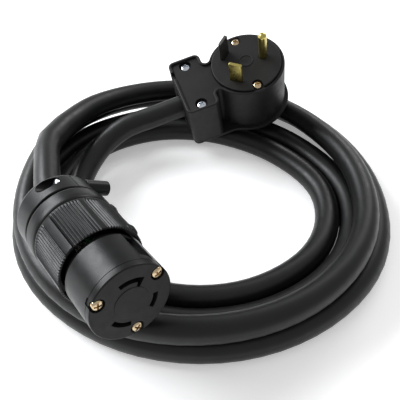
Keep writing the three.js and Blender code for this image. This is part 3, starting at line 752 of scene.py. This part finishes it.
def make_grip():
    """The ribbed hand grip, open at its front where the barrel and the dark gap meet it."""
    turns = [360 * k / GRIP_SIDES for k in range(GRIP_SIDES)]
    # Each step is how far it is ribbed and its depth; inset is how far it is drawn in there.
    steps = [(0.0, GRIP_END), (0.0, GRIP_END - 1.2), (1.0, GRIP_END - 3.2), (1.0, SEAL_END + 2.6),
             (1.0, SEAL_END + 0.9), (0.95, SEAL_END + 0.3), (0.7, SEAL_END)]
    inset = [0.2, 0, 0, 0, 0.03, 0.15, 0.45]
    rings = []
    for (ribbed, depth), drawn in zip(steps, inset):
        base = grip_base(depth) - drawn
        radii = [base + (grip_radius(a, base) - base) * ribbed for a in turns]
        rings.append([Vector((*polar(r, a), -depth)) for r, a in zip(radii, turns)])
    mouth, bore = GRIP_FRONT - 1.3, BODY_RADIUS - 1.2
    shelf = SEAL_END + 4
    for radius, depth in ((mouth, SEAL_END), (mouth, shelf), (bore, shelf), (bore, GRIP_END)):
        rings.append([Vector((*polar(radius, a), -depth)) for a in turns])
    piece = loft("grip", rings, closed=True)
    return settle(piece, CONNECTOR, SATIN_PLASTIC, ["grip_sleeve"], smooth=50)


def make_rail():
    """The raised rail along the grip, higher at both of its ends."""
    # Each station is a depth, how far the rail rises there, and half its width.
    stations = [(31.6, 0.2, 2.8), (32.6, 1.4, 3.6), (35.5, 1.8, 3.8), (38.5, 0.9, 3.2), (46, 0.7, 3.0),
                (53, 0.9, 3.1), (56, 1.7, 3.6), (59, 1.5, 3.4), (61, 0.1, 2.6)]
    rings = []
    for depth, rise, half in stations:
        base = grip_base(depth) - 0.5
        ring = []
        for k in range(RAIL_STEPS + 1):
            t = k / RAIL_STEPS
            y = half * (2 * t - 1)
            crown = base + 0.3 + rise * math.sin(math.pi * t) ** 0.5
            ring.append(Vector((crown - y * y / (2 * base), y, -depth)))
        foot = base - 1.2
        ring += [Vector((foot, half, -depth)), Vector((foot, -half, -depth))]
        rings.append(ring)
    piece = loft("grip_rail", rings)
    piece.data.transform(Matrix.Rotation(math.radians(RAIL_ANGLE), 4, "Z"))
    return settle(piece, CONNECTOR, SATIN_PLASTIC, smooth=50)


def make_collar():
    bore = 14.2
    profile = [(bore, -COLLAR_END), (COLLAR_RADIUS - 0.6, -COLLAR_END), (COLLAR_RADIUS, -COLLAR_END + 1),
               (COLLAR_RADIUS, -GRIP_END - 4.2), (COLLAR_RADIUS - 0.2, -GRIP_END - 1.6),
               (GRIP_REAR - 0.3, -GRIP_END - 0.2), (bore, -GRIP_END - 0.2)]
    piece = lathe("collar", rounded(profile, 0.8), 128, closed=True)
    return settle(piece, CONNECTOR, SATIN_PLASTIC, ["rear_collar"])


def make_clamp_half(name, side, node):
    """Half of the cord clamp: the left one has the screws' pockets, the right one their bosses."""
    hole = CORD_RADIUS + 0.25
    profile = [(hole, -CLAMP_END), (CLAMP_RADIUS - 1.6, -CLAMP_END), (CLAMP_RADIUS, -CLAMP_END + 2.2),
               (CLAMP_RADIUS, -CLAMP_START - 0.6), (CLAMP_RADIUS - 0.6, -CLAMP_START), (hole, -CLAMP_START)]
    piece = lathe(name, rounded(profile, 1.2), 128, closed=True)
    z = -CLAMP_SCREW_DEPTH
    places = [-CLAMP_SCREW_OFFSET, CLAMP_SCREW_OFFSET]
    away = block(-40, 0.2, -40, 40, -CLAMP_END - 2, -CLAMP_START + 2)
    if side < 0:
        away.data.transform(Matrix.Rotation(math.pi, 4, "Z"))
        cutters = [cross_rod(4.4, -34, 2.8 - CLAMP_HEAD_AT, y, z, 48) for y in places]
        cutters += [cross_rod(2.1, -12, 1, y, z) for y in places]
    else:
        bosses = [cross_rod(4.6, 10, CLAMP_BOSS_REACH, y, z, 48) for y in places]
        for boss in bosses:
            soften(boss, 0.6, segments=3)
        join(piece, *bosses)
        cutters = [cross_rod(2.9, CLAMP_BOSS_REACH - 1.6, CLAMP_BOSS_REACH + 1, y, z) for y in places]
        cutters += [cross_rod(2.1, -1, 23, y, z) for y in places]
    cut(piece, away, *cutters)
    soften(piece, 0.3)
    return settle(piece, CONNECTOR @ CLAMP_TURN, SATIN_PLASTIC, [node])


def make_connector():
    make_connector_face()
    make_connector_body()
    make_seal()
    make_grip()
    make_rail()
    make_collar()
    make_clamp_half("clamp_left", -1, "cord_clamp_left")
    make_clamp_half("clamp_right", 1, "cord_clamp_right")
    for index, angle in enumerate(SOCKET_SCREW_ANGLES):
        place = CONNECTOR @ Matrix.Translation((*polar(SOCKET_SCREW_RADIUS, angle), 0.4))
        screw(f"socket_screw_{index + 1}", place, 3.0, 2.2, 1.5, 30, SCREW_BRASS,
              f"connector_face_screw_{index + 1}", turn=0.4 + index)
    for index, side in enumerate((1, -1)):
        at = Matrix.Translation((-CLAMP_HEAD_AT, side * CLAMP_SCREW_OFFSET, -CLAMP_SCREW_DEPTH))
        place = CONNECTOR @ CLAMP_TURN @ at @ Matrix.Rotation(-math.pi / 2, 4, "Y")
        screw(f"clamp_screw_{index + 1}", place, 3.8, 2.4, 1.8, 28, STEEL,
              f"cord_clamp_screw_{index + 1}", turn=0.6)


make_connector()

# ---------------------------------------------------------------- the pieces inside, kept as they are

INNER_FINISHES = {
    "plug_cord_clamp": CARRIER,
    "plug_terminal_deck": CARRIER,
    "contact_carrier": CARRIER,
    "connector_cord_grommet": DARK_RUBBER_AND_PAINTED_SHADE,
    "socket_ground_contact": BRASS,
    "socket_hot_contact": BRASS,
    "socket_neutral_contact": BRASS,
    "plug_hot_terminal_screw": STEEL,
    "plug_neutral_terminal_screw": STEEL,
    "plug_ground_terminal_screw": STEEL,
    "plug_hot_wire": BLACK_WIRE,
    "plug_neutral_wire": WHITE_WIRE,
    "plug_ground_wire": GREEN_WIRE,
    "connector_hot_wire": BLACK_WIRE,
    "connector_neutral_wire": WHITE_WIRE,
    "connector_ground_wire": GREEN_WIRE,
}
for node, finish in INNER_FINISHES.items():
    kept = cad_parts[node]
    kept.data.materials.clear()
    kept.data.materials.append(finish)

# ---------------------------------------------------------------- floor and light


FLOOR_HALF = 4.0
LIGHT_AIM = Vector((0, 0, 0.03))


def make_floor():
    half = FLOOR_HALF
    corners = [(-half, -half, 0), (half, -half, 0), (half, half, 0), (-half, half, 0)]
    mesh = bpy.data.meshes.new("floor")
    mesh.from_pydata(corners, [], [(0, 1, 2, 3)])
    floor = new_object("floor", mesh)
    material, _, shader = new_material("floor_look")
    shader.inputs["Base Color"].default_value = (0.95, 0.95, 0.95, 1)
    shader.inputs["Roughness"].default_value = 0.9
    shader.inputs["Emission Color"].default_value = (1, 1, 1, 1)
    shader.inputs["Emission Strength"].default_value = 0.3
    shader.inputs["Specular IOR Level"].default_value = 0.1
    floor.data.materials.append(material)


def make_light(name, place, size, power, colour=(1, 1, 1)):
    data = bpy.data.lights.new(name, "AREA")
    data.shape = "RECTANGLE"
    data.size, data.size_y = size
    data.energy = power
    data.color = colour
    light = bpy.data.objects.new(name, data)
    light.location = place
    light.rotation_euler = (LIGHT_AIM - Vector(place)).to_track_quat("-Z", "Y").to_euler()
    bpy.context.scene.collection.objects.link(light)


def make_world():
    world = bpy.data.worlds.new("studio")
    world.use_nodes = True
    background = world.node_tree.nodes["Background"]
    background.inputs["Color"].default_value = (1, 1, 1, 1)
    background.inputs["Strength"].default_value = 0.55
    bpy.context.scene.world = world
    bpy.context.scene.view_settings.view_transform = "Standard"


make_floor()
make_world()
make_light("key", (-1.0, 0.5, 0.85), (1.1, 0.5), 26, (0.95, 0.975, 1.0))
make_light("back", (0.7, 1.3, 0.9), (0.8, 0.5), 7)
